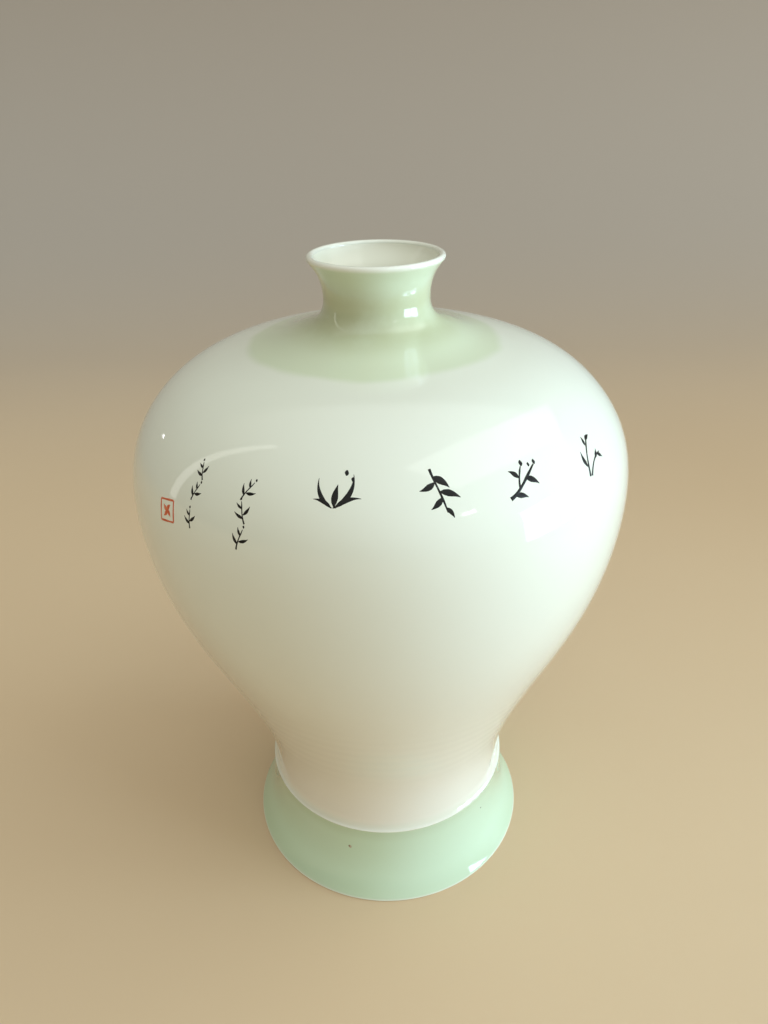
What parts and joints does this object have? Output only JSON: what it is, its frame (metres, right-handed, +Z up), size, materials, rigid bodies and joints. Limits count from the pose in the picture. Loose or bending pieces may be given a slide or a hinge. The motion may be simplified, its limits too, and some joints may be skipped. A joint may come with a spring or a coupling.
{
  "type": "porcelain vase",
  "caption": "Porcelain vase with a narrow flared neck, broad round shoulder, tapering belly and flared foot; white body, pale green neck and foot, brushed sprig decoration.",
  "frame": {"origin": "centre of the circle on which the foot rim rests", "axes": "+Z up the axis of revolution, from the foot to the mouth; the decorated side faces -Y"},
  "size_m": [0.2544, 0.2544, 0.36],
  "materials": {
    "white_glaze": "clear glossy glaze over white porcelain",
    "celadon_glaze": "glossy pale green glaze, unglazed on the resting rim",
    "luting_slip": "fired porcelain slip under glaze",
    "ink_enamel": "brushed black overglaze enamel, low satin gloss",
    "red_enamel": "brushed iron red overglaze enamel, low satin gloss"
  },
  "bodies": {
    "root": {"foot_ring": "celadon_glaze", "foot_joint_slip": "luting_slip", "lower_body": "white_glaze", "belly_joint_slip": "luting_slip", "upper_body": "white_glaze", "neck_joint_slip": "luting_slip", "neck_and_lip": "celadon_glaze"}
  },
  "joints": []
}
